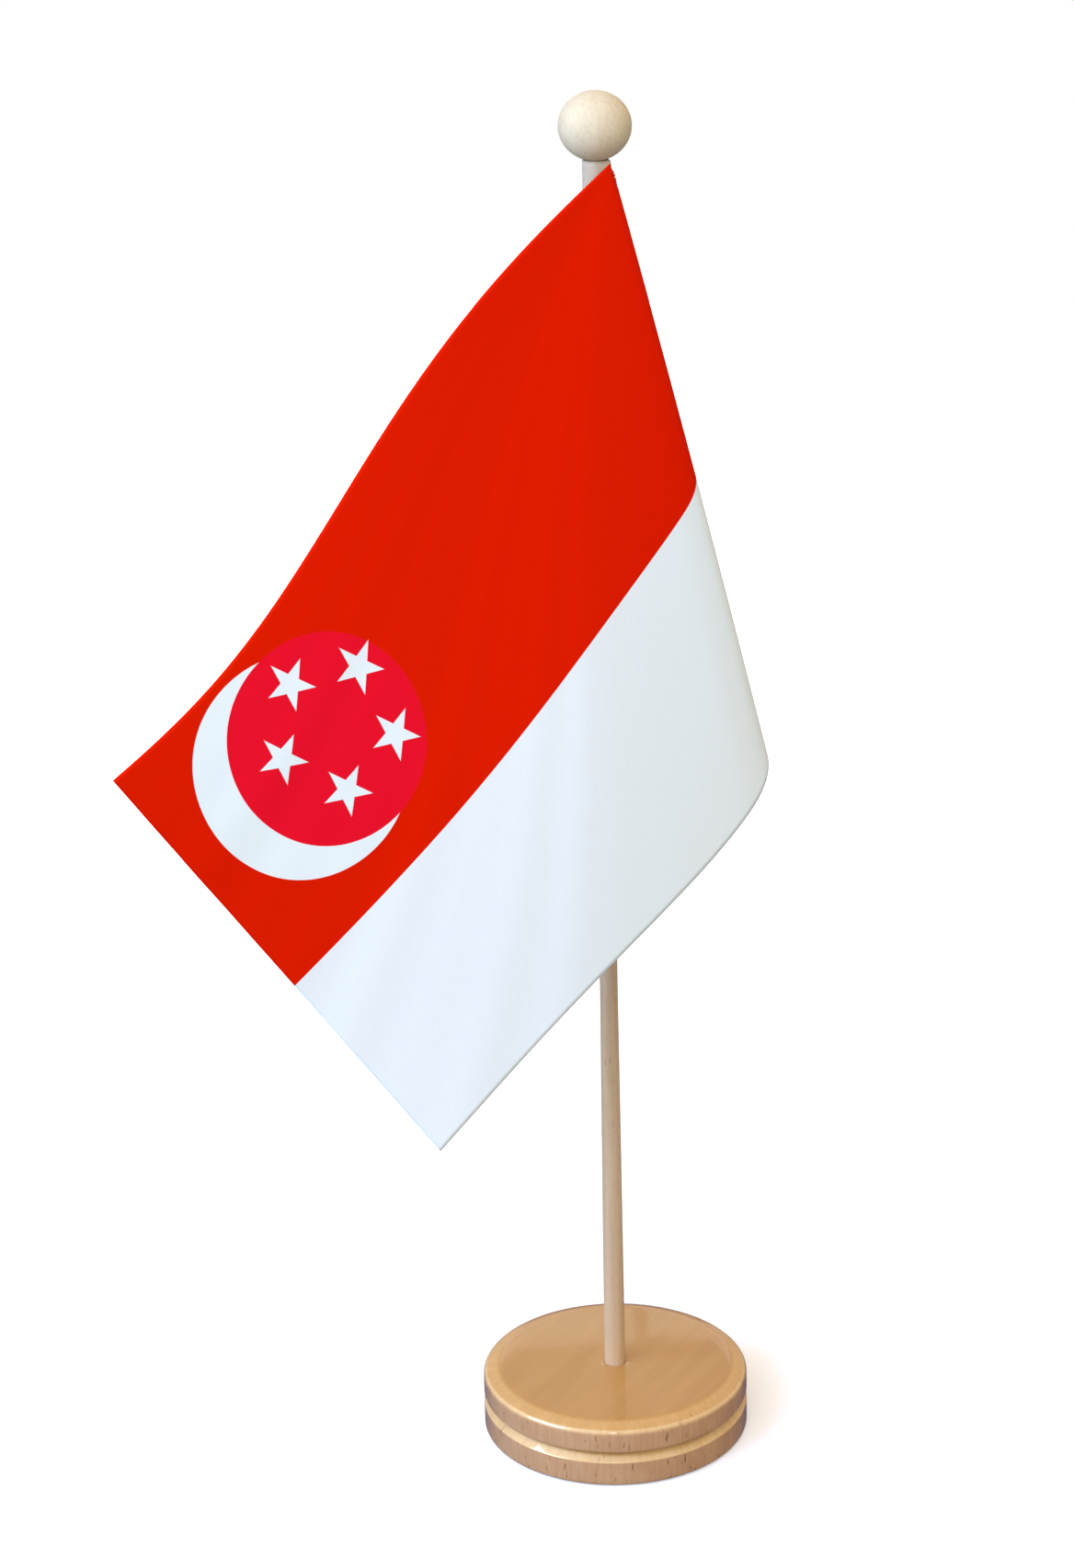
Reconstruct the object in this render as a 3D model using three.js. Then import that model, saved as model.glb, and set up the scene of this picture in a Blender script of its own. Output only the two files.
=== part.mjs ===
// Desk flag stand: a turned wooden base, a slim pole with a ball on top, and a satin flag
// whose sewn sleeve turns freely on the pole. Millimetres, +Z up, origin at the middle of the
// underside. The flag drapes towards -X and -Y, in front of the pole.
import * as THREE from 'three';

// Base
const BASE_RADIUS = 40;
const BASE_TOP = 20;
const BASE_UNDERSIDE = 0.4;
const TOP_FLAT_RADIUS = 35.2;
const BEVEL_SLOPE = 20;
const EDGE_ROUNDING = 1.2;
const GROOVE_TOP = 11.6;
const GROOVE_DEEPEST = 10.4;
const GROOVE_BOTTOM = 8;
const GROOVE_DEPTH = 2.8;
const FOOT_CHAMFER = 0.7;
const SOCKET_RADIUS = 3.2;
const SOCKET_FLOOR = 5;

// Felt pad, let into the underside
const FELT_RADIUS = 34;
const FELT_THICKNESS = 1.2;
const FELT_GAP = 0.3;

// Pole, slightly thicker at the foot
const POLE_FOOT_RADIUS = 3.1;
const POLE_RADIUS = 2.65;
const POLE_TAPER_START = 36;
const POLE_TAPER_END = 140;
const POLE_BOTTOM = SOCKET_FLOOR + 0.3;
const POLE_TOP = 393;
const POLE_CHAMFER = 0.5;

// Ball, slightly flattened
const BALL_RADIUS = 10;
const BALL_HALF_HEIGHT = 9.4;
const BALL_CENTRE = 396.7;
const BALL_HOLE_TOP = POLE_TOP + 0.5;
const BALL_HOLE_RADIUS = POLE_RADIUS + 0.1;

// Sleeve: a cloth pocket round the pole, with its seam at SEAM_ANGLE seen from above
const SLEEVE_TOP = 387;
const SLEEVE_RADIUS = 3.65;
const SLEEVE_BORE_RADIUS = 3.05;
const SEAM_ANGLE = -32;
const SEAM_REACH = 4.5;

// Flag cloth, flat size before it is hung
const FLAG_LENGTH = 216;
const FLAG_WIDTH = 144;
const CLOTH_THICKNESS = 0.6;
const CORNER_THINNING = 14;
const HOIST_REACH = 4.94;

// The cloth is a fan of straight lines from its top corner, which is on the seam. HEADING is the
// way the fan leaves the seam, seen from above, and each bend turns it clockwise by `turn`
// degrees over `span` degrees of the fan. The spans add up to the corner's right angle.
const HEADING = 87.4;
const BENDS = [
  { span: 22.4, turn: 151.8 },
  { span: 7.9, turn: 81.8 },
  { span: 9.7, turn: 3.8 },
  { span: 50, turn: -6.5 },
];
const BEND_BLEND = 2.5;
const FAN_STEPS = 180;
const FAN_ANGLE = 90;
const CLOTH_LINES_BELOW = 34;
const CLOTH_LINES_ABOVE = 8;
const CLOTH_RINGS = 10;

// Slack in the cloth, which moves it off the fan by this much along each axis. Each amount goes
// with one smooth shape along the cloth's length and down its width.
const SLACK = {
  x: { bulge: -11.3, wave: -3.9, sag: 14, sagWave: 0.2, drop: -9.1, ripple: 0.1, belly: -6.1 },
  y: { bulge: -8.9, wave: -0.1, sag: -6.1, sagWave: -0.9, drop: -10.2, ripple: 0.8, belly: 8.5 },
  z: { bulge: -12.2, wave: 2.4, sag: -0.2, sagWave: -10.9, drop: -7.6, ripple: -0.1, belly: -5.9 },
};

const WOOD = { color: 0xb98a56, roughness: 0.35 };
const PALE_WOOD = { color: 0xd9c7a0, roughness: 0.7 };
const FELT = { color: 0x3a3a38, roughness: 1 };
const RED_SATIN = { color: 0xd91e00, roughness: 0.5 };
const WHITE_CLOTH = { color: 0xe6e2da, roughness: 0.8 };

const radians = THREE.MathUtils.degToRad;

function piece(name, geometry, look) {
  const material = new THREE.MeshStandardMaterial({ metalness: 0, ...look });
  const mesh = new THREE.Mesh(geometry, material);
  mesh.name = name;
  return mesh;
}

// Turned shape from [radius, height] pairs, bottom first, standing on Z.
function turned(profile, segments) {
  const points = profile.map(([radius, height]) => new THREE.Vector2(radius, height));
  return new THREE.LatheGeometry(points, segments).rotateX(Math.PI / 2);
}

// Points of an arc about a centre in a plane, from one angle to another, in degrees.
function arc(centreX, centreY, radius, fromAngle, toAngle, steps) {
  const points = [];
  for (let i = 0; i <= steps; i += 1) {
    const angle = radians(fromAngle + ((toAngle - fromAngle) * i) / steps);
    points.push([centreX + radius * Math.cos(angle), centreY + radius * Math.sin(angle)]);
  }
  return points;
}

// The top falls away in a shallow bevel, which a small rounding joins to the side.
function baseDisc() {
  const recessTop = FELT_THICKNESS + FELT_GAP;
  const recessRadius = FELT_RADIUS + FELT_GAP;
  const slope = radians(BEVEL_SLOPE);
  const edgeCentre = BASE_RADIUS - EDGE_ROUNDING;
  const bevelWidth = edgeCentre + EDGE_ROUNDING * Math.sin(slope) - TOP_FLAT_RADIUS;
  const bevelDrop = bevelWidth * Math.tan(slope);
  const edgeHeight = BASE_TOP - bevelDrop - EDGE_ROUNDING * Math.cos(slope);
  const profile = [
    [0, recessTop],
    [recessRadius, recessTop],
    [recessRadius, BASE_UNDERSIDE],
    [BASE_RADIUS - FOOT_CHAMFER, BASE_UNDERSIDE],
    [BASE_RADIUS, BASE_UNDERSIDE + FOOT_CHAMFER],
    [BASE_RADIUS, GROOVE_BOTTOM],
    [BASE_RADIUS - GROOVE_DEPTH, GROOVE_DEEPEST],
    [BASE_RADIUS, GROOVE_TOP],
    ...arc(edgeCentre, edgeHeight, EDGE_ROUNDING, 0, 90 - BEVEL_SLOPE, 4),
    [TOP_FLAT_RADIUS, BASE_TOP],
    [SOCKET_RADIUS, BASE_TOP],
    [SOCKET_RADIUS, SOCKET_FLOOR],
    [0, SOCKET_FLOOR],
  ];
  return piece('base_disc', turned(profile, 48), WOOD);
}

function baseFelt() {
  const profile = [
    [0, 0],
    [FELT_RADIUS, 0],
    [FELT_RADIUS, FELT_THICKNESS],
    [0, FELT_THICKNESS],
  ];
  return piece('base_felt', turned(profile, 48), FELT);
}

function poleDowel() {
  const profile = [
    [0, POLE_BOTTOM],
    [POLE_FOOT_RADIUS - POLE_CHAMFER, POLE_BOTTOM],
    [POLE_FOOT_RADIUS, POLE_BOTTOM + POLE_CHAMFER],
    [POLE_FOOT_RADIUS, POLE_TAPER_START],
    [POLE_RADIUS, POLE_TAPER_END],
    [POLE_RADIUS, POLE_TOP - POLE_CHAMFER],
    [POLE_RADIUS - POLE_CHAMFER, POLE_TOP],
    [0, POLE_TOP],
  ];
  return piece('pole_dowel', turned(profile, 24), WOOD);
}

function ballFinial() {
  const holeEdge = -THREE.MathUtils.radToDeg(Math.acos(BALL_HOLE_RADIUS / BALL_RADIUS));
  const flattened = arc(0, 0, BALL_RADIUS, holeEdge, 90, 20).map(([radius, height]) => [
    radius,
    BALL_CENTRE + (height * BALL_HALF_HEIGHT) / BALL_RADIUS,
  ]);
  const profile = [[0, BALL_HOLE_TOP], [BALL_HOLE_RADIUS, BALL_HOLE_TOP], ...flattened];
  profile[profile.length - 1][0] = 0;
  return piece('ball_finial', turned(profile, 32), PALE_WOOD);
}

// The pocket's section is a round tube drawn out to a point at the seam.
function flagSleeve() {
  const flank = THREE.MathUtils.radToDeg(Math.acos(SLEEVE_RADIUS / SEAM_REACH));
  const seam = radians(SEAM_ANGLE);
  const round = arc(0, 0, SLEEVE_RADIUS, SEAM_ANGLE + flank, SEAM_ANGLE + 360 - flank, 28);
  const section = [[SEAM_REACH * Math.cos(seam), SEAM_REACH * Math.sin(seam)], ...round];
  const outline = new THREE.Shape(section.map(([x, y]) => new THREE.Vector2(x, y)));
  const hole = arc(0, 0, SLEEVE_BORE_RADIUS, 360, 0, 24).slice(1);
  outline.holes.push(new THREE.Path(hole.map(([x, y]) => new THREE.Vector2(x, y))));
  const geometry = new THREE.ExtrudeGeometry(outline, { depth: FLAG_WIDTH, bevelEnabled: false });
  geometry.translate(0, 0, SLEEVE_TOP - FLAG_WIDTH);
  return piece('flag_sleeve', geometry, WHITE_CLOTH);
}

// Directions of the fan's lines, one for each step from straight down the seam to the top edge.
function fanDirections() {
  const step = FAN_ANGLE / FAN_STEPS;
  const heading = radians(HEADING);
  const down = new THREE.Vector3(0, 0, -1);
  const across = new THREE.Vector3(Math.cos(heading), Math.sin(heading), 0);
  const directions = [down.clone()];
  for (let i = 0; i < FAN_STEPS; i += 1) {
    across.applyAxisAngle(down, radians(turnRate((i + 0.5) * step) * step));
    const previous = down.clone();
    down.multiplyScalar(Math.cos(radians(step))).addScaledVector(across, Math.sin(radians(step)));
    across.multiplyScalar(Math.cos(radians(step)));
    across.addScaledVector(previous, -Math.sin(radians(step)));
    directions.push(down.clone());
  }
  return directions;
}

// Degrees of turn for each degree of the fan, blended smoothly from bend to bend.
function turnRate(angle) {
  let start = 0;
  let rate = 0;
  BENDS.forEach(({ span, turn }, index) => {
    const rise = index === 0 ? 1 : 0.5 + 0.5 * Math.tanh((angle - start) / BEND_BLEND);
    const end = start + span;
    const last = index === BENDS.length - 1;
    const fall = last ? 0 : 0.5 + 0.5 * Math.tanh((angle - end) / BEND_BLEND);
    rate += (rise - fall) * (turn / span);
    start = end;
  });
  return rate;
}

function slack(amounts, along, down) {
  const arch = Math.sin(Math.PI * along);
  const wave = Math.sin(2 * Math.PI * along);
  return (
    amounts.bulge * arch * along +
    amounts.wave * wave +
    amounts.sag * arch * down +
    amounts.sagWave * wave * down +
    amounts.drop * along * down +
    amounts.ripple * Math.sin(3 * Math.PI * along) +
    amounts.belly * arch * down * down
  );
}

// Place of a point of the hung cloth: `angle` degrees round the fan, `reach` mm from its corner.
function clothPoint(directions, angle, reach) {
  const place = THREE.MathUtils.clamp((angle / FAN_ANGLE) * FAN_STEPS, 0, FAN_STEPS);
  const index = Math.min(Math.floor(place), FAN_STEPS - 1);
  const direction = directions[index].clone().lerp(directions[index + 1], place - index);
  const along = (reach * Math.sin(radians(angle))) / FLAG_LENGTH;
  const down = (reach * Math.cos(radians(angle))) / FLAG_WIDTH;
  const seam = radians(SEAM_ANGLE);
  const point = direction.normalize().multiplyScalar(reach);
  point.x += HOIST_REACH * Math.cos(seam) + slack(SLACK.x, along, down);
  point.y += HOIST_REACH * Math.sin(seam) + slack(SLACK.y, along, down);
  point.z += SLEEVE_TOP + slack(SLACK.z, along, down);
  return point;
}

function clothNormal(directions, angle, reach) {
  const small = 0.4;
  const onward = clothPoint(directions, angle + small, reach);
  const back = clothPoint(directions, Math.max(angle - small, 0), reach);
  const outward = clothPoint(directions, angle, reach + small);
  const inward = clothPoint(directions, angle, reach - small);
  return onward.sub(back).cross(outward.sub(inward)).normalize();
}

// Evenly spaced values from first to last, in this many steps.
function spread(first, last, steps) {
  return Array.from({ length: steps + 1 }, (_, i) => first + ((last - first) * i) / steps);
}

// Distance from the cloth's top corner to its far edge, along one line of the fan.
function edgeReach(angle) {
  const along = Math.sin(radians(angle));
  const down = Math.cos(radians(angle));
  return Math.min(FLAG_LENGTH / Math.max(along, 1e-6), FLAG_WIDTH / Math.max(down, 1e-6));
}

// Two skins, one on each side of the fan, joined at the corner and along the three edges.
function flagCloth() {
  const directions = fanDirections();
  const diagonal = THREE.MathUtils.radToDeg(Math.atan2(FLAG_LENGTH, FLAG_WIDTH));
  const beyond = spread(diagonal, FAN_ANGLE, CLOTH_LINES_ABOVE).slice(1);
  const angles = [...spread(0, diagonal, CLOTH_LINES_BELOW), ...beyond];
  const positions = clothPoint(directions, 0, 0).toArray();
  for (const side of [1, -1]) {
    for (const angle of angles) {
      for (let ring = 1; ring <= CLOTH_RINGS; ring += 1) {
        const reach = (edgeReach(angle) * ring) / CLOTH_RINGS;
        const thickness = CLOTH_THICKNESS * Math.min(1, reach / CORNER_THINNING);
        const point = clothPoint(directions, angle, reach);
        point.addScaledVector(clothNormal(directions, angle, reach), (side * thickness) / 2);
        positions.push(...point.toArray());
      }
    }
  }

  const skin = angles.length * CLOTH_RINGS;
  const front = (line, ring) => (ring === 0 ? 0 : line * CLOTH_RINGS + ring);
  const back = (line, ring) => (ring === 0 ? 0 : skin + line * CLOTH_RINGS + ring);
  const faces = [];
  const addFace = (...corners) => {
    const [first, ...others] = corners.filter((corner, i) => corners.indexOf(corner) === i);
    for (let i = 1; i < others.length; i += 1) {
      faces.push(first, others[i - 1], others[i]);
    }
  };
  const last = angles.length - 1;
  for (let ring = 0; ring < CLOTH_RINGS; ring += 1) {
    const next = ring + 1;
    for (let line = 0; line < last; line += 1) {
      addFace(front(line, ring), front(line + 1, ring), front(line + 1, next), front(line, next));
      addFace(back(line, ring), back(line, next), back(line + 1, next), back(line + 1, ring));
    }
    addFace(front(0, ring), front(0, next), back(0, next), back(0, ring));
    addFace(front(last, next), front(last, ring), back(last, ring), back(last, next));
  }
  for (let line = 0; line < last; line += 1) {
    const next = line + 1;
    const edge = CLOTH_RINGS;
    addFace(front(line, edge), front(next, edge), back(next, edge), back(line, edge));
  }
  const geometry = new THREE.BufferGeometry();
  geometry.setAttribute('position', new THREE.Float32BufferAttribute(positions, 3));
  geometry.setIndex(faces);
  geometry.computeVertexNormals();
  return piece('flag_cloth', geometry, RED_SATIN);
}

const stand = new THREE.Group();
stand.add(baseDisc(), baseFelt(), poleDowel(), ballFinial(), flagSleeve(), flagCloth());

export default stand;
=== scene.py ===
"""Desk flag stand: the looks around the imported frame. Sizes are in mm until a mesh is made."""

import math

import bpy
import numpy as np
from mathutils import Matrix, Vector


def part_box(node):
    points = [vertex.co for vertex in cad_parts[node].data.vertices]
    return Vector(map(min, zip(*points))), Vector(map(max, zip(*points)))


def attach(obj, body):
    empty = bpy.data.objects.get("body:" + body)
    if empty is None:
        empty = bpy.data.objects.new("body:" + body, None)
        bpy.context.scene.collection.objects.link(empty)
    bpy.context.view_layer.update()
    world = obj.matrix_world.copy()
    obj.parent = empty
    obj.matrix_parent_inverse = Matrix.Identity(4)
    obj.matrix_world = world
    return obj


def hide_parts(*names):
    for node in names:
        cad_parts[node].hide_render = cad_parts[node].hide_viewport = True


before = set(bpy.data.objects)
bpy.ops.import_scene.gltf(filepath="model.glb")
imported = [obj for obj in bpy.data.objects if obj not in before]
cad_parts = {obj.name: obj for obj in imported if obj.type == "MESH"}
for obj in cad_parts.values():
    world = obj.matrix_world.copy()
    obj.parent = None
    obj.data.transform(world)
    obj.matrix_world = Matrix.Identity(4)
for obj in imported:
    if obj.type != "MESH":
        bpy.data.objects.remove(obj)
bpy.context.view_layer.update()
scene = bpy.context.scene
scene.view_settings.view_transform = "Standard"

MM = 0.001


# ---------------------------------------------------------------- the frame's own sizes, in mm

def node_box(name):
    """The low and high corners of a node of the frame, in mm."""
    low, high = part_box(name)
    return np.array(low) / MM, np.array(high) / MM


BASE_LOW, BASE_HIGH = node_box("base_disc")
FELT_LOW, FELT_HIGH = node_box("base_felt")
POLE_LOW, POLE_HIGH = node_box("pole_dowel")
BALL_LOW, BALL_HIGH = node_box("ball_finial")
SLEEVE_LOW, SLEEVE_HIGH = node_box("flag_sleeve")

BASE_RADIUS = BASE_HIGH[0]
BASE_TOP = BASE_HIGH[2]
BEVEL_WIDTH = 4.8
BEVEL_DROP = 1.75
GROOVE_TOP = 11.6
GROOVE_DEEPEST = 10.4
GROOVE_BOTTOM = 8.0
GROOVE_DEPTH = 2.8
SOCKET_RADIUS = 3.2
SOCKET_FLOOR = 5.0
RECESS_GAP = 0.3

POLE_RADIUS = 2.65
POLE_TAPER_START = 36
POLE_TAPER_END = 140

BALL_RADIUS = (BALL_HIGH[0] - BALL_LOW[0]) / 2
BALL_HALF_HEIGHT = BALL_RADIUS * 0.94
BALL_CENTRE = BALL_HIGH[2] - BALL_HALF_HEIGHT
BALL_HOLE_RADIUS = 2.75
BALL_HOLE_TOP = POLE_HIGH[2] + 0.5
BALL_HOLE_EASING = (0.35, 0.3)

# The hung cloth, as in the frame's flag_cloth: a fan of straight lines from its top corner.
FLAG_LENGTH = 216.0
FLAG_WIDTH = 144.0
CLOTH_THICKNESS = 0.3
SEAM_ANGLE = -32.0
HOIST_REACH = 4.94
FLAG_TOP = SLEEVE_HIGH[2]
HEADING = 87.4
BENDS = [(22.4, 151.8), (7.9, 81.8), (9.7, 3.8), (50.0, -6.5)]
BEND_BLEND = 2.5
FAN_STEPS = 180
SLACK_X = [-11.3, -3.9, 14.0, 0.2, -9.1, 0.1, -6.1]
SLACK_Y = [-8.9, -0.1, -6.1, -0.9, -10.2, 0.8, 8.5]
SLACK_Z = [-12.2, 2.4, -0.2, -10.9, -7.6, -0.1, -5.9]

# The satin hangs a little more loosely than the frame's: its lines lie back, by a share of
# their reach, in broad hollows (start, deepest, end in degrees of the fan, depth) and in fine
# ripples (period in degrees, depth) beyond RIPPLE_START.
HOLLOWS = [(22.5, 29.5, 51.0, 0.035), (50.0, 70.0, 90.0, 0.011)]
RIPPLES = [(8.3, 0.0006), (5.1, 0.0004)]
RIPPLE_START = (36.0, 48.0)
LIES_BACK = (0.03, 0.946, -0.32)

# The mesh of the cloth. All of the fan's lines meet in its top corner, where the cloth has no
# normal, so the corner's point is moved in a little along both edges.
COLUMNS, ROWS = 216, 120
CORNER_INSET = 0.05
THREAD_PITCH = 0.3

# The pocket round the pole, which ends above the cloth, and the thread that sews it. Its
# creases are as deep as CREASE_DEPTH. The seam's stitches are at STITCH_LINE from the hoist.
POCKET_RADIUS = 3.6
POCKET_INNER = 3.0
POCKET_RISE = 0.6
POCKET_LEVELS = 97
CREASES = 6
CREASE_DEPTH = 0.10
STITCH_LINE = 1.6
STITCH_LENGTH = 2.1
STITCH_GAP = 0.45
STITCH_ENDS = (1.5, FLAG_WIDTH - 1.2)
THREAD_RADIUS = 0.17
THREAD_RINGS = 6
THREAD_SIDES = 8

# The print, in mm on the flat cloth. A round shape is (along from the hoist, down from the top
# edge, radius), and the star ring's radius reaches the middles of its stars.
RED_EDGE = 78.2
DISC = (161.2, 35.6, 29.7)
CRESCENT = (171.9, 35.0, 32.0)
STAR_RING = (156.7, 34.9, 17.9)
STAR_RING_TURN = -18.4
STAR_RADIUS = 7.6
STAR_INNER = 0.382
PRINT_SOFTNESS = 0.12


# ---------------------------------------------------------------- node trees

class Shader:
    """A material's node tree, with short calls for its arithmetic."""

    def __init__(self, name):
        self.material = bpy.data.materials.new(name)
        self.material.use_nodes = True
        self.tree = self.material.node_tree
        self.surface = self.tree.nodes["Principled BSDF"]

    def node(self, kind, inputs=(), **settings):
        """A new node, its settings first, then its inputs as values or other nodes' outputs."""
        node = self.tree.nodes.new("ShaderNode" + kind)
        for key, value in settings.items():
            setattr(node, key, value)
        for key, value in dict(inputs).items():
            self.put(node.inputs[key], value)
        return node

    def put(self, socket, value):
        if isinstance(value, bpy.types.NodeSocket):
            self.tree.links.new(value, socket)
        elif hasattr(value, "__len__") and len(value) == 3 and len(socket.default_value) == 4:
            socket.default_value = (*value, 1)
        else:
            socket.default_value = value

    def math(self, operation, *values):
        return self.node("Math", dict(enumerate(values)), operation=operation).outputs[0]

    def step(self, value, start, end):
        """0 before start, 1 after end, smooth between."""
        inputs = {"Value": value, "From Min": start, "From Max": end}
        node = self.node("MapRange", inputs, interpolation_type="SMOOTHSTEP")
        return node.outputs[0]

    def spread(self, value, low, high):
        """A 0 to 1 value spread over low to high."""
        node = self.node("MapRange", {"Value": value, "To Min": low, "To Max": high})
        return node.outputs[0]

    def mix(self, factor, first, second):
        """The first colour where the factor is 0, the second where it is 1."""
        inputs = {0: factor, 6: first, 7: second}
        return self.node("Mix", inputs, data_type="RGBA").outputs[2]

    def place(self, turn=(0, 0, 0), scale=(1, 1, 1), offset=(0, 0, 0)):
        """The point's place in the piece's own frame, turned, then scaled per metre."""
        where = self.node("TexCoord").outputs["Object"]
        turned = self.node("Mapping", {"Vector": where, "Rotation": turn})
        inputs = {"Vector": turned.outputs[0], "Scale": scale, "Location": offset}
        return self.node("Mapping", inputs).outputs[0]

    def place_in_mm(self):
        """The point's X, Y and Z in the piece's own frame."""
        return self.node("SeparateXYZ", {0: self.place(scale=(1 / MM, 1 / MM, 1 / MM))}).outputs

    def noise(self, vector, detail=2.0, roughness=0.5, distortion=0.0):
        inputs = {"Vector": vector, "Scale": 1.0, "Detail": detail, "Roughness": roughness,
                  "Distortion": distortion}
        return self.node("TexNoise", inputs).outputs[0]

    def bump(self, height, strength, distance):
        inputs = {"Height": height, "Strength": strength, "Distance": distance * MM}
        return self.node("Bump", inputs).outputs[0]

    def set(self, **values):
        """Inputs of the surface, with _ for each space in an input's name."""
        for key, value in values.items():
            self.put(self.surface.inputs[key.replace("_", " ")], value)


def shade(colour, amount):
    """The colour, darkened to this share of its brightness."""
    return tuple(c * amount for c in colour)


def wood(name, turn, light, dark, fleck, fleck_size, fleck_share, settings):
    """Beech: soft bands and fine fibres along the grain (the piece's Y once turned), and the
    short dark flecks of its rays, which are thin across the grain (X) and taller than wide."""
    s = Shader(name)
    bands = s.noise(s.place(turn, (304, 11.2, 240)), 3, 0.55, 0.6)
    broad = s.noise(s.place(turn, (34, 5, 34), (3, 1, 7)), 1)
    fibres = s.noise(s.place(turn, (3100, 55, 2600)), 2, 0.6)
    pores = s.noise(s.place(turn, (6200, 420, 6200), (5, 2, 1)), 1, 0.5)
    speckle = s.noise(s.place(turn, (950, 380, 950), (2, 8, 4)), 3, 0.65)

    tone = s.math("MULTIPLY_ADD", bands, 0.55, s.math("MULTIPLY", broad, 0.45))
    figure = s.math("MULTIPLY", s.step(tone, 0.34, 0.66), settings["figure"])
    colour = s.mix(figure, light, dark)
    colour = s.mix(s.spread(fibres, 0.0, 0.42), colour, shade(dark, 0.86))
    specks = s.math("MULTIPLY", s.step(speckle, 0.42, 0.7), settings["speckle"])
    colour = s.mix(specks, colour, shade(dark, 0.82))

    cells = s.place(turn, [1 / (size * MM) for size in fleck_size], (2, 5, 3))
    voronoi = s.node("TexVoronoi", {"Vector": cells, "Scale": 1.0, "Randomness": 1.0})
    near = s.step(voronoi.outputs["Distance"], 0.19, 0.07)
    pick = s.node("SeparateColor", {0: voronoi.outputs["Color"]}).outputs[0]
    tick = s.math("MULTIPLY", near, s.step(pick, 1 - fleck_share, 1.0))
    colour = s.mix(tick, colour, fleck)

    height = s.math("MULTIPLY_ADD", fibres, 0.5, s.math("MULTIPLY", pores, 0.5))
    height = s.math("SUBTRACT", height, s.math("MULTIPLY", tick, 0.4))
    rough = s.spread(broad, settings["rough"] - 0.07, settings["rough"] + 0.07)
    s.set(Base_Color=colour, Roughness=rough, Normal=s.bump(height, settings["bump"], 0.06))
    s.set(Coat_Weight=settings["coat"], Coat_Roughness=settings["coat_rough"],
          Specular_IOR_Level=settings["specular"])
    return s.material


def lacquered_beech(name):
    """Honey-coloured beech under lacquer. The bevel and the groove's ledge are paler than the top
    and the sides are pinker, partly the wood's own tone and partly painted light. The sides show
    the wood's rays as upright streaks and dark ticks."""
    s = Shader(name)
    upward = s.node("SeparateXYZ", {0: s.node("TexCoord").outputs["Normal"]}).outputs[2]
    off_top = s.step(upward, 0.998, 0.945)
    side = s.step(upward, 0.62, 0.25)
    grain_turn = (0, 0, math.radians(28))
    bands = s.noise(s.place(grain_turn, (150, 14, 150)), 3, 0.55, 1.0)
    broad = s.noise(s.place(grain_turn, (40, 16, 34), (3, 1, 7)), 2)
    fibres = s.noise(s.place(grain_turn, (2600, 120, 2600)), 2, 0.6)
    tone = s.math("MULTIPLY_ADD", bands, 0.5, s.math("MULTIPLY", broad, 0.5))
    top = s.mix(s.step(tone, 0.36, 0.64), (0.477, 0.256, 0.069), (0.426, 0.217, 0.052))
    top = s.mix(s.spread(fibres, 0.0, 0.3), top, (0.350, 0.168, 0.044))

    # The way round the rim, and the distance down the slope and the side.
    x, y, z = s.place_in_mm()
    reach = s.math("SQRT", s.math("MULTIPLY_ADD", x, x, s.math("MULTIPLY", y, y)))
    drop = s.math("SUBTRACT", reach, z)
    outward = s.node("VectorMath", {0: s.node("CombineXYZ", {0: x, 1: y}).outputs[0]},
                     operation="NORMALIZE").outputs[0]

    def streaks(width, height, detail, offset):
        wide = s.node("VectorMath", {0: outward, 3: BASE_RADIUS / width}, operation="SCALE")
        tall = s.math("MULTIPLY_ADD", drop, 1 / height, offset)
        lifted = s.node("CombineXYZ", {2: tall})
        shifted = s.node("VectorMath", {0: wide.outputs[0], 1: lifted.outputs[0]})
        return s.noise(shifted.outputs[0], detail, 0.6)

    fine = streaks(1.1, 9.0, 3, 3.0)
    wide = streaks(6.0, 14.0, 2, 11.0)
    ticks = streaks(0.85, 4.6, 1, 23.0)
    streaked = s.math("MULTIPLY_ADD", fine, 0.6, s.math("MULTIPLY", wide, 0.4))
    streaked = s.step(streaked, 0.34, 0.66)
    # The colour follows the way the surface faces: the paler bevel and ledge and the pinker sides
    # are partly the wood's own tone and partly painted light.
    bevel_tone_and_painted_light = s.mix(streaked, (0.585, 0.35, 0.122), (0.53, 0.30, 0.095))
    ledge_tone_and_painted_light = s.mix(streaked, (0.71, 0.495, 0.228), (0.635, 0.415, 0.173))
    bevel_tone_and_painted_light = s.mix(s.step(upward, 0.9, 0.8), bevel_tone_and_painted_light, ledge_tone_and_painted_light)
    flank = s.mix(streaked, (0.585, 0.350, 0.175), (0.515, 0.292, 0.140))
    edge = s.mix(side, bevel_tone_and_painted_light, flank)
    tick = s.step(ticks, 0.67, 0.72)
    dark_tick = s.math("MULTIPLY", tick, s.spread(side, 0.35, 0.85))
    edge = s.mix(dark_tick, edge, (0.24, 0.115, 0.05))
    colour = s.mix(off_top, top, edge)

    dents = s.noise(s.place(scale=(95, 95, 95), offset=(4, 4, 4)), 2, 0.5)
    tick = s.math("MULTIPLY", tick, off_top)
    height = s.math("MULTIPLY_ADD", fibres, 0.12, dents)
    height = s.math("SUBTRACT", height, s.math("MULTIPLY", tick, 0.35))
    s.set(Base_Color=colour, Roughness=s.spread(broad, 0.36, 0.50),
          Normal=s.bump(height, 0.16, 0.06))
    s.set(Coat_Weight=0.8, Coat_Roughness=0.03, Specular_IOR_Level=0.3)
    return s.material


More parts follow.
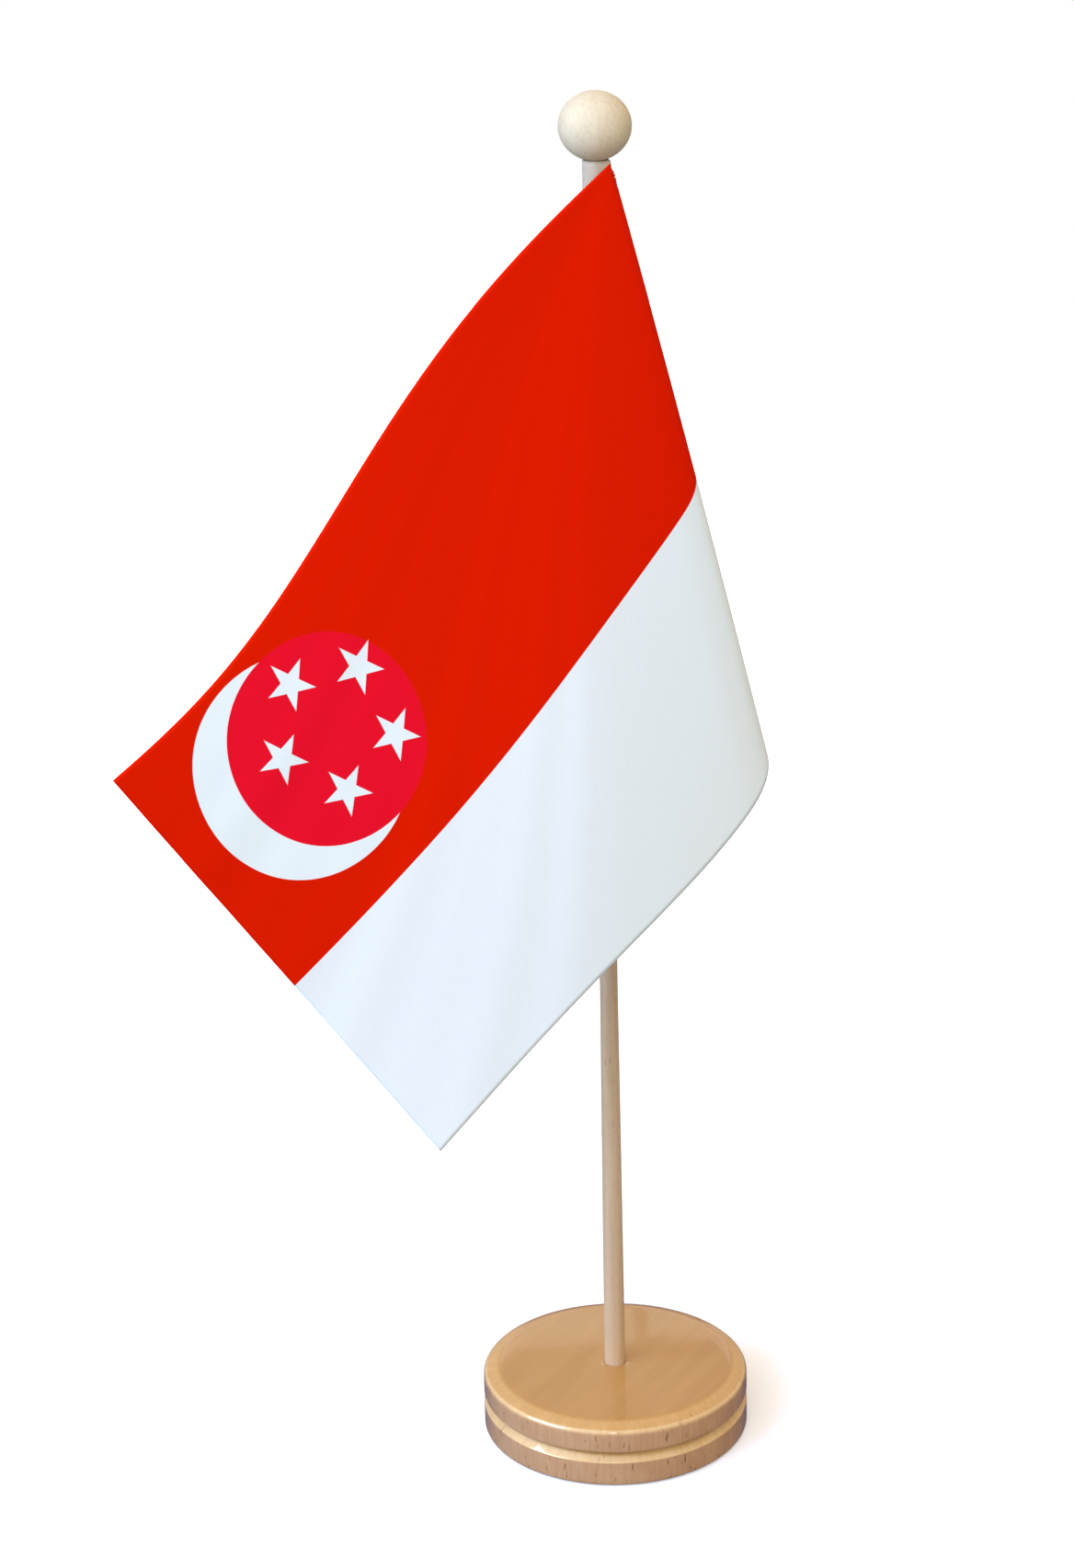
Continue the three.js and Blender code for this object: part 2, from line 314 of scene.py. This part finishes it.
def cloth_weave(s, along, down):
    """Satin: long floats along one thread, tied down at every fifth crossing. Returns the
    threads' height and, as 0 or 1, where they are tied."""
    across = s.math("DIVIDE", along, THREAD_PITCH)
    down = s.math("DIVIDE", down, THREAD_PITCH)
    column = s.math("FLOOR", across)
    row = s.math("FLOOR", down)
    phase = s.math("FLOORED_MODULO", s.math("MULTIPLY_ADD", column, 2.0, row), 5.0)
    tied = s.math("LESS_THAN", phase, 0.5)
    weft = s.math("SINE", s.math("MULTIPLY", s.math("FRACT", down), math.pi))
    warp = s.math("SINE", s.math("MULTIPLY", s.math("FRACT", across), math.pi))
    over = s.math("MULTIPLY", warp, tied)
    under = s.math("MULTIPLY", weft, s.math("SUBTRACT", 1.0, tied))
    return s.math("ADD", s.math("MULTIPLY", over, 1.1), under), tied


def flag_print(name, paleness):
    """The printed satin, from the cloth's own flat coordinates. Paleness is how far the print
    is mixed with the bare cloth's colour."""
    s = Shader(name)
    uv = s.node("UVMap", uv_map="cloth").outputs[0]
    parts = s.node("SeparateXYZ", {0: uv})
    along = s.math("MULTIPLY", parts.outputs[0], FLAG_LENGTH)
    down = s.math("MULTIPLY", parts.outputs[1], FLAG_WIDTH)

    def distance(centre):
        x = s.math("SUBTRACT", along, centre[0])
        y = s.math("SUBTRACT", down, centre[1])
        square = s.math("MULTIPLY_ADD", x, x, s.math("MULTIPLY", y, y))
        return s.math("SQRT", square), x, y

    def inside(value, limit):
        return s.step(value, limit + PRINT_SOFTNESS, limit - PRINT_SOFTNESS)

    red, white = (0.735, 0.0122, 0.0), (0.83, 0.955, 0.985)
    crimson, emblem_white = (0.84, 0.0065, 0.024), (0.83, 0.97, 0.995)
    colour = s.mix(inside(down, RED_EDGE), white, red)
    colour = s.mix(inside(distance(CRESCENT)[0], CRESCENT[2]), colour, emblem_white)
    colour = s.mix(inside(distance(DISC)[0], DISC[2]), colour, crimson)

    # The ring of five stars has the star's own symmetry, so one star is drawn in one fifth turn.
    reach, x, y = distance(STAR_RING)
    fifth = math.radians(72)
    angle = s.math("SUBTRACT", s.math("ARCTAN2", y, x), math.radians(STAR_RING_TURN))
    angle = s.math("WRAP", angle, fifth / 2, -fifth / 2)
    x = s.math("SUBTRACT", s.math("MULTIPLY", reach, s.math("COSINE", angle)), STAR_RING[2])
    y = s.math("MULTIPLY", reach, s.math("SINE", angle))
    radius = s.math("SQRT", s.math("MULTIPLY_ADD", x, x, s.math("MULTIPLY", y, y)))
    arm = s.math("ABSOLUTE", s.math("WRAP", s.math("ARCTAN2", y, x), fifth / 2, -fifth / 2))
    notch = STAR_RADIUS * STAR_INNER
    side = np.array([notch * math.sin(fifth / 2), STAR_RADIUS - notch * math.cos(fifth / 2)])
    side /= np.linalg.norm(side)
    edge = s.math("MULTIPLY_ADD", s.math("MULTIPLY", radius, s.math("COSINE", arm)), side[0],
                  s.math("MULTIPLY", s.math("MULTIPLY", radius, s.math("SINE", arm)), side[1]))
    edge = s.math("SUBTRACT", edge, STAR_RADIUS * side[0])
    colour = s.mix(inside(edge, 0.0), colour, emblem_white)

    weave, tied = cloth_weave(s, along, down)
    slubs = s.noise(s.place(scale=(900, 900, 180)), 2)
    cloudy = s.noise(s.place(scale=(26, 26, 26)), 2)
    colour = s.mix(paleness, colour, (0.86, 0.88, 0.90))
    # The print is a little darker at the weave's tie points and along the slubs.
    tie_and_slub_darkening = s.math("MULTIPLY_ADD", tied, 0.06, s.math("MULTIPLY", slubs, 0.03))
    colour = s.mix(tie_and_slub_darkening, colour, (0, 0, 0))
    s.set(Base_Color=colour, Roughness=s.spread(cloudy, 0.50, 0.62), Specular_IOR_Level=0.01,
          Normal=s.bump(weave, 0.22, 0.03))
    return s.material


def pocket_cloth(name):
    """Unprinted white satin of the pole pocket, drawn grey-beige: its colour is painted shade from
    the ball above.
    """
    s = Shader(name)
    x, y, z = s.place_in_mm()
    round_it = s.math("MULTIPLY", s.math("ARCTAN2", y, x), POCKET_RADIUS)
    weave, tied = cloth_weave(s, round_it, z)
    cloudy = s.noise(s.place(scale=(90, 90, 40)), 2)
    # Painted shade: the white satin's colour is darkened and warmed as it looks under the ball.
    colour = s.mix(s.spread(cloudy, 0.1, 0.9), (0.46, 0.40, 0.28), (0.55, 0.48, 0.35))
    colour = s.mix(s.math("MULTIPLY", tied, 0.2), colour, (0.45, 0.40, 0.36))
    s.set(Base_Color=colour, Roughness=s.spread(cloudy, 0.55, 0.7),
          Normal=s.bump(weave, 0.35, 0.04))
    s.set(Specular_IOR_Level=0.2, Sheen_Weight=0.15, Sheen_Roughness=0.4)
    return s.material


def seam_thread(name):
    """Sewing thread: red beside the red half of the cloth, white beside the white half."""
    s = Shader(name)
    twist = s.noise(s.place(scale=(2600, 2600, 5200)), 2)
    height = s.place_in_mm()[2]
    edge = FLAG_TOP - RED_EDGE
    colour = s.mix(s.step(height, edge - 0.2, edge + 0.2), (0.82, 0.86, 0.88), (0.68, 0.01, 0.0))
    s.set(Base_Color=s.mix(s.spread(twist, 0.0, 0.3), colour, (0, 0, 0)))
    s.set(Roughness=s.spread(twist, 0.55, 0.75), Sheen_Weight=0.2)
    s.set(Normal=s.bump(twist, 0.5, 0.05))
    return s.material


def felt(name):
    """Dark wool felt."""
    s = Shader(name)
    fine = s.noise(s.place(scale=(2200, 2200, 2200)), 4, 0.7)
    patch = s.noise(s.place(scale=(120, 120, 120)), 2)
    colour = s.mix(s.spread(fine, 0.0, 1.0), (0.022, 0.022, 0.021), (0.075, 0.074, 0.07))
    colour = s.mix(s.spread(patch, 0.0, 0.4), colour, (0.05, 0.05, 0.048))
    s.set(Base_Color=colour, Roughness=s.spread(fine, 0.88, 1.0))
    s.set(Sheen_Weight=0.3, Sheen_Roughness=0.6, Specular_IOR_Level=0.1)
    s.set(Normal=s.bump(fine, 0.8, 0.25))
    return s.material


# ---------------------------------------------------------------- meshes

def piece(name, points, faces, materials, body, replaces=(), face_materials=None):
    """A shown object that rides a body of the frame and stands for the nodes it replaces."""
    mesh = bpy.data.meshes.new(name)
    mesh.from_pydata((np.asarray(points) * MM).tolist(), [], faces)
    for material in materials:
        mesh.materials.append(material)
    if face_materials is not None:
        mesh.polygons.foreach_set("material_index", face_materials)
    mesh.shade_smooth()
    mesh.update()
    shown = bpy.data.objects.new(name, mesh)
    scene.collection.objects.link(shown)
    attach(shown, body)
    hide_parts(*replaces)
    return shown


def rounded(corners, steps=7):
    """A profile from (radius, height, rounding) corners, bottom first."""
    points = []
    for i, (x, z, rounding) in enumerate(corners):
        here = np.array([x, z], float)
        if not rounding:
            points.append(here)
            continue
        before = np.array(corners[i - 1][:2], float) - here
        after = np.array(corners[i + 1][:2], float) - here
        before /= np.linalg.norm(before)
        after /= np.linalg.norm(after)
        half = math.acos(np.clip(before @ after, -1, 1)) / 2
        inset = rounding / math.tan(half)
        middle = (before + after) / np.linalg.norm(before + after)
        centre = here + middle * rounding / math.sin(half)
        first = here + before * inset - centre
        last = here + after * inset - centre
        sweep = math.pi - 2 * half
        turn = math.copysign(1, first[0] * last[1] - first[1] * last[0])
        for k in range(steps + 1):
            a = turn * sweep * k / steps
            spin = np.array([[math.cos(a), -math.sin(a)], [math.sin(a), math.cos(a)]])
            points.append(centre + spin @ first)
    return np.array(points)


def densify(profile, longest):
    """The same profile with no segment longer than this."""
    points = [profile[0]]
    for a, b in zip(profile, profile[1:]):
        parts = max(1, math.ceil(np.linalg.norm(b - a) / longest))
        points.extend(a + (b - a) * k / parts for k in range(1, parts + 1))
    return np.array(points)


def turned(profile, segments, stray=None):
    """A solid turned on Z from a profile that starts and ends on the axis. Its radius strays
    from round by stray(radius, angle)."""
    ring = profile[1:-1]
    angles = np.arange(segments) * 2 * math.pi / segments
    points = [[0, 0, profile[0][1]]]
    for radius, height in ring:
        for a in angles:
            r = radius + (stray(radius, a) if stray else 0)
            points.append([r * math.cos(a), r * math.sin(a), height])
    points.append([0, 0, profile[-1][1]])
    last = len(points) - 1
    faces = []
    for k in range(segments):
        n = (k + 1) % segments
        faces.append((0, 1 + n, 1 + k))
        top = 1 + (len(ring) - 1) * segments
        faces.append((last, top + k, top + n))
        for j in range(len(ring) - 1):
            a = 1 + j * segments
            b = a + segments
            faces.append((a + k, a + n, b + n, b + k))
    return np.array(points), faces


# ---------------------------------------------------------------- base

recess_radius = FELT_HIGH[0] + RECESS_GAP
recess_top = FELT_HIGH[2] + RECESS_GAP
base_corners = [
    (0, recess_top, 0),
    (recess_radius, recess_top, 0.15),
    (recess_radius, BASE_LOW[2], 0.15),
    (BASE_RADIUS, BASE_LOW[2], 0.9),
    (BASE_RADIUS, GROOVE_BOTTOM, 0.7),
    (BASE_RADIUS - GROOVE_DEPTH, GROOVE_DEEPEST, 0.25),
    (BASE_RADIUS, GROOVE_TOP, 0.6),
    (BASE_RADIUS, BASE_TOP - BEVEL_DROP, 2.0),
    (BASE_RADIUS - BEVEL_WIDTH, BASE_TOP, 8.0),
    (SOCKET_RADIUS, BASE_TOP, 0.25),
    (SOCKET_RADIUS, SOCKET_FLOOR, 0.2),
    (0, SOCKET_FLOOR, 0),
]
points, faces = turned(densify(rounded(base_corners), longest=2.0), segments=192)
piece("base_disc_turned", points, faces, [lacquered_beech("lacquered_beech")], "base",
      ["base_disc"])

felt_corners = [
    (0, FELT_LOW[2], 0),
    (FELT_HIGH[0], FELT_LOW[2], 0.3),
    (FELT_HIGH[0], FELT_HIGH[2], 0.3),
    (0, FELT_HIGH[2], 0),
]
rng = np.random.default_rng(7)
ragged = rng.normal(0, 0.06, 4096)
RAGGED_PER_RADIAN = 651


def cut_edge(radius, angle):
    """Only the felt's cut edge is ragged."""
    if radius <= FELT_HIGH[0] - 0.5:
        return 0
    return ragged[int(angle * RAGGED_PER_RADIAN) % len(ragged)]


points, faces = turned(densify(rounded(felt_corners, steps=4), longest=2.0), segments=144,
                       stray=cut_edge)
reach = np.maximum(np.linalg.norm(points[:, 0:2], axis=1), 1e-6)
points[:, 0:2] *= np.minimum(1, FELT_HIGH[0] / reach)[:, None]
piece("felt_pad", points, faces, [felt("wool_felt")], "base", ["base_felt"])


# ---------------------------------------------------------------- pole and ball

GRAIN_UPRIGHT = (math.radians(90), 0, 0)
GRAIN_ACROSS_BALL = (math.radians(90), 0, math.radians(20))

POLE_FINISH = {"rough": 0.52, "bump": 0.22, "coat": 0.10, "coat_rough": 0.35, "specular": 0.3,
               "figure": 1.0, "speckle": 0.25}
beech_pole = wood("pole_beech", GRAIN_UPRIGHT, light=(0.70, 0.545, 0.355),
                  dark=(0.575, 0.415, 0.250), fleck=(0.27, 0.16, 0.08),
                  fleck_size=(0.7, 9.0, 1.2), fleck_share=0.5, settings=POLE_FINISH)
pole_corners = [
    (0, POLE_LOW[2], 0),
    (POLE_HIGH[0], POLE_LOW[2], 0.5),
    (POLE_HIGH[0], POLE_TAPER_START, 0),
    (POLE_RADIUS, POLE_TAPER_END, 0),
    (POLE_RADIUS, POLE_HIGH[2], 0.5),
    (0, POLE_HIGH[2], 0),
]
points, faces = turned(densify(rounded(pole_corners), longest=6.0), segments=48)
piece("pole_turned", points, faces, [beech_pole], "pole", ["pole_dowel"])

BALL_FINISH = {"rough": 0.62, "bump": 0.25, "coat": 0.05, "coat_rough": 0.4, "specular": 0.2,
               "figure": 0.45, "speckle": 0.45}
beech_ball = wood("ball_beech", GRAIN_ACROSS_BALL, light=(0.738, 0.662, 0.452),
                  dark=(0.652, 0.547, 0.339), fleck=(0.41, 0.285, 0.14),
                  fleck_size=(0.6, 5.0, 1.4), fleck_share=0.45, settings=BALL_FINISH)
easing_width, easing_height = BALL_HOLE_EASING
hole_edge = -math.acos((BALL_HOLE_RADIUS + easing_width) / BALL_RADIUS)
mouth = BALL_CENTRE + BALL_HALF_HEIGHT * math.sin(hole_edge) + easing_height
ball_profile = [(0, BALL_HOLE_TOP), (BALL_HOLE_RADIUS, BALL_HOLE_TOP), (BALL_HOLE_RADIUS, mouth)]
for a in np.linspace(hole_edge, math.pi / 2, 72):
    ball_profile.append((BALL_RADIUS * math.cos(a), BALL_CENTRE + BALL_HALF_HEIGHT * math.sin(a)))
ball_profile[-1] = (0, BALL_HIGH[2])
points, faces = turned(densify(np.array(ball_profile), longest=1.0), segments=112)
piece("ball_turned", points, faces, [beech_ball], "pole", ["ball_finial"])


# ---------------------------------------------------------------- flag cloth

def fan_directions():
    """Directions of the fan's lines, from straight down the seam to along the top edge."""
    step = 90 / FAN_STEPS
    down = np.array([0, 0, -1.0])
    across = np.array([math.cos(math.radians(HEADING)), math.sin(math.radians(HEADING)), 0])
    directions = [down]
    for i in range(FAN_STEPS):
        angle, start, rate = (i + 0.5) * step, 0, 0
        for k, (span, turn) in enumerate(BENDS):
            rise = 1 if k == 0 else 0.5 + 0.5 * math.tanh((angle - start) / BEND_BLEND)
            end = start + span
            fall = 0.5 + 0.5 * math.tanh((angle - end) / BEND_BLEND)
            if k == len(BENDS) - 1:
                fall = 0
            rate += (rise - fall) * turn / span
            start = end
        a = math.radians(rate * step)
        across = math.cos(a) * across + math.sin(a) * np.cross(down, across)
        a = math.radians(step)
        down, across = (math.cos(a) * down + math.sin(a) * across,
                        math.cos(a) * across - math.sin(a) * down)
        directions.append(down)
    return np.array(directions)


FAN = fan_directions()


def smooth_rise(value, start, end):
    """0 at start, 1 at end, smooth between. Start may be the larger."""
    share = np.clip((value - start) / (end - start), 0, 1)
    return share * share * (3 - 2 * share)


def looseness(angle):
    """How far back a line of the fan lies, as a share of its reach."""
    depth = sum(deep * smooth_rise(angle, start, lowest) * smooth_rise(angle, end, lowest)
                for start, lowest, end, deep in HOLLOWS)
    fine = sum(deep * np.sin(2 * math.pi * angle / period) for period, deep in RIPPLES)
    return depth + fine * smooth_rise(angle, *RIPPLE_START)


def cloth_point(along, down):
    """Place of a point of the hung cloth, from its flat coordinates."""
    along, down = np.broadcast_arrays(np.asarray(along, float), np.asarray(down, float))
    angle = np.degrees(np.arctan2(along, np.maximum(down, 1e-9)))
    lines = np.linspace(0, 90, len(FAN))
    direction = np.stack([np.interp(angle, lines, FAN[:, i]) for i in range(3)], -1)
    direction /= np.linalg.norm(direction, axis=-1, keepdims=True)
    seam = math.radians(SEAM_ANGLE)
    corner = np.array([HOIST_REACH * math.cos(seam), HOIST_REACH * math.sin(seam), FLAG_TOP])
    point = np.hypot(along, down)[..., None] * direction + corner
    s, t = along / FLAG_LENGTH, down / FLAG_WIDTH
    arch, wave = np.sin(math.pi * s), np.sin(2 * math.pi * s)
    terms = [arch * s, wave, arch * t, wave * t, s * t, np.sin(3 * math.pi * s), arch * t * t]
    for axis, slack in enumerate((SLACK_X, SLACK_Y, SLACK_Z)):
        point[..., axis] += sum(amount * term for amount, term in zip(slack, terms))
    return point + (np.hypot(along, down) * looseness(angle))[..., None] * np.array(LIES_BACK)


def cloth_normal(along, down):
    """The cloth's own direction out of its printed face, over a stretch of 2 d."""
    d = 0.3
    du = cloth_point(along + d, down) - cloth_point(np.maximum(along - d, 0), down)
    dv = cloth_point(along, down + d) - cloth_point(along, np.maximum(down - d, 0))
    normal = np.cross(du, dv)
    return normal / np.maximum(np.linalg.norm(normal, axis=-1, keepdims=True), 1e-12)


along, down = np.meshgrid(np.linspace(0, FLAG_LENGTH, COLUMNS + 1),
                          np.linspace(0, FLAG_WIDTH, ROWS + 1))
along[0, 0] = down[0, 0] = CORNER_INSET
middle = cloth_point(along, down)
normal = cloth_normal(along, down)
front = (middle + normal * CLOTH_THICKNESS / 2).reshape(-1, 3)
back = (middle - normal * CLOTH_THICKNESS / 2).reshape(-1, 3)
across = COLUMNS + 1
skin = across * (ROWS + 1)
faces, sides = [], []
for row in range(ROWS):
    for column in range(COLUMNS):
        a = row * across + column
        b, c, d = a + 1, a + across + 1, a + across
        faces.append((a, b, c, d))
        sides.append(0)
        faces.append((skin + d, skin + c, skin + b, skin + a))
        sides.append(1)

# The rim goes once round the sheet and joins its two faces.
rim = list(range(across))
rim += [r * across + COLUMNS for r in range(1, ROWS + 1)]
rim += [ROWS * across + c for c in range(COLUMNS - 1, -1, -1)]
rim += [r * across for r in range(ROWS - 1, 0, -1)]
for a, b in zip(rim, rim[1:] + rim[:1]):
    faces.append((b, a, skin + a, skin + b))
    sides.append(0)
flag = piece("flag", np.vstack([front, back]), faces,
             [flag_print("satin_front", 0.0), flag_print("satin_back", 0.10)], "flag",
             ["flag_cloth"], sides)

# Each corner of each face keeps its point's flat coordinates, which the print reads.
uv = flag.data.uv_layers.new(name="cloth")
flat = np.stack([(along / FLAG_LENGTH).ravel(), (down / FLAG_WIDTH).ravel()], -1)
flat = np.vstack([flat, flat])
loops = np.zeros(len(flag.data.loops), np.int32)
flag.data.loops.foreach_get("vertex_index", loops)
uv.data.foreach_set("uv", flat[loops].ravel())


# ---------------------------------------------------------------- pole pocket and its seam

# The outline seen from above goes round the pole and runs out on both sides to the seam.
flank = math.acos(POCKET_RADIUS / HOIST_REACH)
seam = math.radians(SEAM_ANGLE)
section = [[HOIST_REACH, 0.0]]
for a in np.linspace(flank, 2 * math.pi - flank, 60):
    section.append([POCKET_RADIUS * math.cos(a), POCKET_RADIUS * math.sin(a)])
section = densify(np.array(section + [section[0]]), longest=0.5)[:-1]
angles = np.arctan2(section[:, 1], section[:, 0])
spin = np.array([[math.cos(seam), math.sin(seam)], [-math.sin(seam), math.cos(seam)]])
levels = np.linspace(SLEEVE_HIGH[2] + POCKET_RISE, SLEEVE_LOW[2], POCKET_LEVELS)
starts = rng.uniform(0, 2 * math.pi, CREASES)
outer, inner = [], []
for level in levels:
    waves = [math.sin(level * (0.23 + 0.19 * k) + start) for k, start in enumerate(starts)]
    sway = CREASE_DEPTH * sum(waves) / CREASES * (0.5 + 0.5 * np.cos(angles * 2 + level * 0.05))
    grow = 1 + sway[:, None] / np.linalg.norm(section, axis=1, keepdims=True)
    ring = (section * grow) @ spin
    outer.append(np.column_stack([ring, np.full(len(ring), level)]))
    ring = np.column_stack([POCKET_INNER * np.cos(angles), POCKET_INNER * np.sin(angles)]) @ spin
    inner.append(np.column_stack([ring, np.full(len(ring), level)]))
count = len(section)
points = np.vstack(outer + inner)
second = len(levels) * count
faces = []
for j in range(len(levels) - 1):
    for k in range(count):
        n = (k + 1) % count
        a, b = j * count, (j + 1) * count
        faces.append((a + n, a + k, b + k, b + n))
        faces.append((second + a + k, second + a + n, second + b + n, second + b + k))
last = (len(levels) - 1) * count
for k in range(count):
    n = (k + 1) % count
    faces.append((k, n, second + n, second + k))
    faces.append((last + n, last + k, second + last + k, second + last + n))
pocket = piece("pole_pocket", points, faces, [pocket_cloth("plain_satin_painted_shade")], "flag",
               ["flag_sleeve"])


def stitch(start, side):
    """One stitch on one side of the cloth: a bent bead of thread, thin where it dives in."""
    points, faces = [], []
    for share in np.linspace(0, 1, THREAD_RINGS):
        down = start + STITCH_LENGTH * share
        spot = cloth_point(STITCH_LINE, down)
        out = cloth_normal(STITCH_LINE, down) * side
        lift = CLOTH_THICKNESS / 2 + THREAD_RADIUS * (0.9 * math.sin(math.pi * share) - 0.15)
        axis = cloth_point(STITCH_LINE, down + 0.1) - spot
        axis /= np.linalg.norm(axis)
        wide = np.cross(out, axis)
        fullness = math.sin(math.pi * min(max(share, 0.08), 0.92))
        radius = THREAD_RADIUS * (0.55 + 0.45 * fullness)
        for a in np.arange(THREAD_SIDES) * 2 * math.pi / THREAD_SIDES:
            points.append(spot + out * (lift + radius * math.sin(a)) + wide * radius * math.cos(a))
    for k in range(THREAD_RINGS - 1):
        a = k * THREAD_SIDES
        b = a + THREAD_SIDES
        for m in range(THREAD_SIDES):
            n = (m + 1) % THREAD_SIDES
            faces.append((a + m, a + n, b + n, b + m))
    last = (THREAD_RINGS - 1) * THREAD_SIDES
    faces.append(tuple(reversed(range(THREAD_SIDES))))
    faces.append(tuple(range(last, last + THREAD_SIDES)))
    return points, faces


thread_points, thread_faces = [], []
for side in (1, -1):
    start, end = STITCH_ENDS
    while start + STITCH_LENGTH < end:
        points, faces = stitch(start, side)
        thread_faces += [[i + len(thread_points) for i in face] for face in faces]
        thread_points += points
        start += STITCH_LENGTH + STITCH_GAP
stitches = piece("pocket_stitches", thread_points, thread_faces, [seam_thread("seam_thread")],
                 "flag")


# ---------------------------------------------------------------- stage, light and camera

FLOOR_RADIUS = 1500
FLOOR_THICKNESS = 6
FLOOR_GLOW = (0.12, 0.6)


def floor_piece():
    """A pale floor that glows white further out, between the radii FLOOR_GLOW in metres, so
    that it shows the object's soft shadow and then joins the white backdrop."""
    profile = [(0, -FLOOR_THICKNESS), (FLOOR_RADIUS, -FLOOR_THICKNESS), (FLOOR_RADIUS, 0), (0, 0)]
    points, faces = turned(np.array(profile, float), segments=64)
    s = Shader("pale_floor")
    cloudy = s.noise(s.place(scale=(3, 3, 3)), 2)
    s.set(Base_Color=s.mix(cloudy, (0.80, 0.80, 0.80), (0.84, 0.84, 0.84)))
    s.set(Roughness=s.spread(cloudy, 0.85, 0.95), Specular_IOR_Level=0.1)
    spot = s.node("VectorMath", {0: s.node("TexCoord").outputs["Object"]}, operation="LENGTH")
    far = s.step(spot.outputs["Value"], *FLOOR_GLOW)
    s.set(Emission_Color=s.mix(far, (0.24, 0.27, 0.30), (0.9, 0.95, 1.0)), Emission_Strength=1.0)
    mesh = bpy.data.meshes.new("floor")
    mesh.from_pydata((points * MM).tolist(), [], faces)
    mesh.materials.append(s.material)
    floor = bpy.data.objects.new("floor", mesh)
    scene.collection.objects.link(floor)
    floor.visible_diffuse = False
    floor.visible_glossy = False


floor_piece()

SKY_STRENGTH = 0.84
SKY_BELOW = (0.405, 0.414, 0.479)
SKY_ABOVE = (1.0, 0.798, 0.61)
SKY_BLEND = (-0.02, 0.02)
# The gloss sees a dark table below the horizon.
TABLE_IN_GLOSS = (0.07, 0.09, 0.20)
# Soft lights that the object's colours show: name, place, width, height, watts, colour.
LIGHTS = [
    ("left_window", (-1.527, -0.467, 0.781), 0.45, 0.45, 13.9, (0.328, 0.607, 1.0)),
    ("cool_softbox", (-0.921, -0.921, 1.293), 0.55, 0.55, 20.9, (0.325, 0.45, 1.0)),
    ("front_softbox", (-0.242, -1.371, 1.175), 1.0, 1.0, 12.2, (0.90, 0.97, 0.95)),
]
# Bright shapes that only its gloss shows: the window, a lamp in front and a card behind.
REFLECTIONS = [
    ("window_shape", (-1.31, -0.56, 1.17), 1.0, 0.7, 60.0, (1.0, 0.96, 0.90)),
    ("lamp_shape", (-0.06, -1.39, 1.18), 0.22, 0.22, 3.5, (1.0, 0.96, 0.88)),
    ("left_card", (-0.17, 1.5, 0.632), 0.36, 0.4, 0.33, (1.0, 0.98, 0.95)),
    ("right_card", (0.20, 1.5, 0.63), 0.34, 0.4, 0.31, (1.0, 0.98, 0.95)),
]
LIGHT_AIM = (0, 0, 0.2)


def studio_sky():
    """A white backdrop for the camera, and a soft dome of light for the object."""
    world = bpy.data.worlds.new("studio")
    scene.world = world
    world.use_nodes = True
    tree = world.node_tree
    tree.nodes.clear()

    def node(kind, inputs=(), **settings):
        made = tree.nodes.new("ShaderNode" + kind)
        for key, value in settings.items():
            setattr(made, key, value)
        for key, value in dict(inputs).items():
            if isinstance(value, bpy.types.NodeSocket):
                tree.links.new(value, made.inputs[key])
            else:
                made.inputs[key].default_value = value
        return made

    generated = node("TexCoord").outputs["Generated"]
    height = node("SeparateXYZ", {0: generated}).outputs[2]
    above = node("MapRange", {"Value": height, "From Min": SKY_BLEND[0],
                              "From Max": SKY_BLEND[1]}).outputs[0]
    path = node("LightPath")
    below = node("Mix", {0: path.outputs["Is Glossy Ray"], 6: (*SKY_BELOW, 1),
                         7: (*TABLE_IN_GLOSS, 1)}, data_type="RGBA").outputs[2]
    tint = node("Mix", {0: above, 6: below, 7: (*SKY_ABOVE, 1)}, data_type="RGBA").outputs[2]
    dome = node("Background", {"Color": tint, "Strength": SKY_STRENGTH}).outputs[0]
    backdrop = node("Background", {"Color": (1, 1, 1, 1), "Strength": 1.0}).outputs[0]
    chosen = node("MixShader", {0: path.outputs["Is Camera Ray"], 1: dome, 2: backdrop}).outputs[0]
    node("OutputWorld", {"Surface": chosen})


def area_light(name, place, width, height, power, colour):
    """A rectangular light that faces LIGHT_AIM."""
    data = bpy.data.lights.new(name, "AREA")
    data.shape = "RECTANGLE"
    data.size = width
    data.size_y = height
    data.energy = power
    data.color = colour
    light = bpy.data.objects.new(name, data)
    light.location = place
    towards = Vector(LIGHT_AIM) - Vector(place)
    light.rotation_euler = towards.to_track_quat("-Z", "Y").to_euler()
    scene.collection.objects.link(light)
    return light


studio_sky()
for lamp in LIGHTS:
    area_light(*lamp).visible_glossy = False
for lamp in REFLECTIONS:
    area_light(*lamp).visible_diffuse = False


def camera(place, yaw, pitch, roll, lens):
    """Yaw turns it to its right, pitch tips it down, and roll leans it to its left."""
    yaw, pitch, roll = (math.radians(a) for a in (yaw, pitch, roll))
    ahead = Vector((math.sin(yaw) * math.cos(pitch), math.cos(yaw) * math.cos(pitch),
                    -math.sin(pitch)))
    right = Vector((math.cos(yaw), -math.sin(yaw), 0))
    up = right.cross(ahead)
    side = math.cos(roll) * right + math.sin(roll) * up
    top = math.cos(roll) * up - math.sin(roll) * right
    data = bpy.data.cameras.new("camera")
    data.lens = lens
    data.sensor_width = 36
    data.clip_start = 0.01
    view = bpy.data.objects.new("camera", data)
    turn = Matrix((side, top, -ahead)).transposed()
    view.matrix_world = Matrix.Translation(Vector(place)) @ turn.to_4x4()
    scene.collection.objects.link(view)
    scene.camera = view


camera(place=(0.00008, -1.0, 0.5804), yaw=-1.13, pitch=20.43, roll=-1.33, lens=85.37)
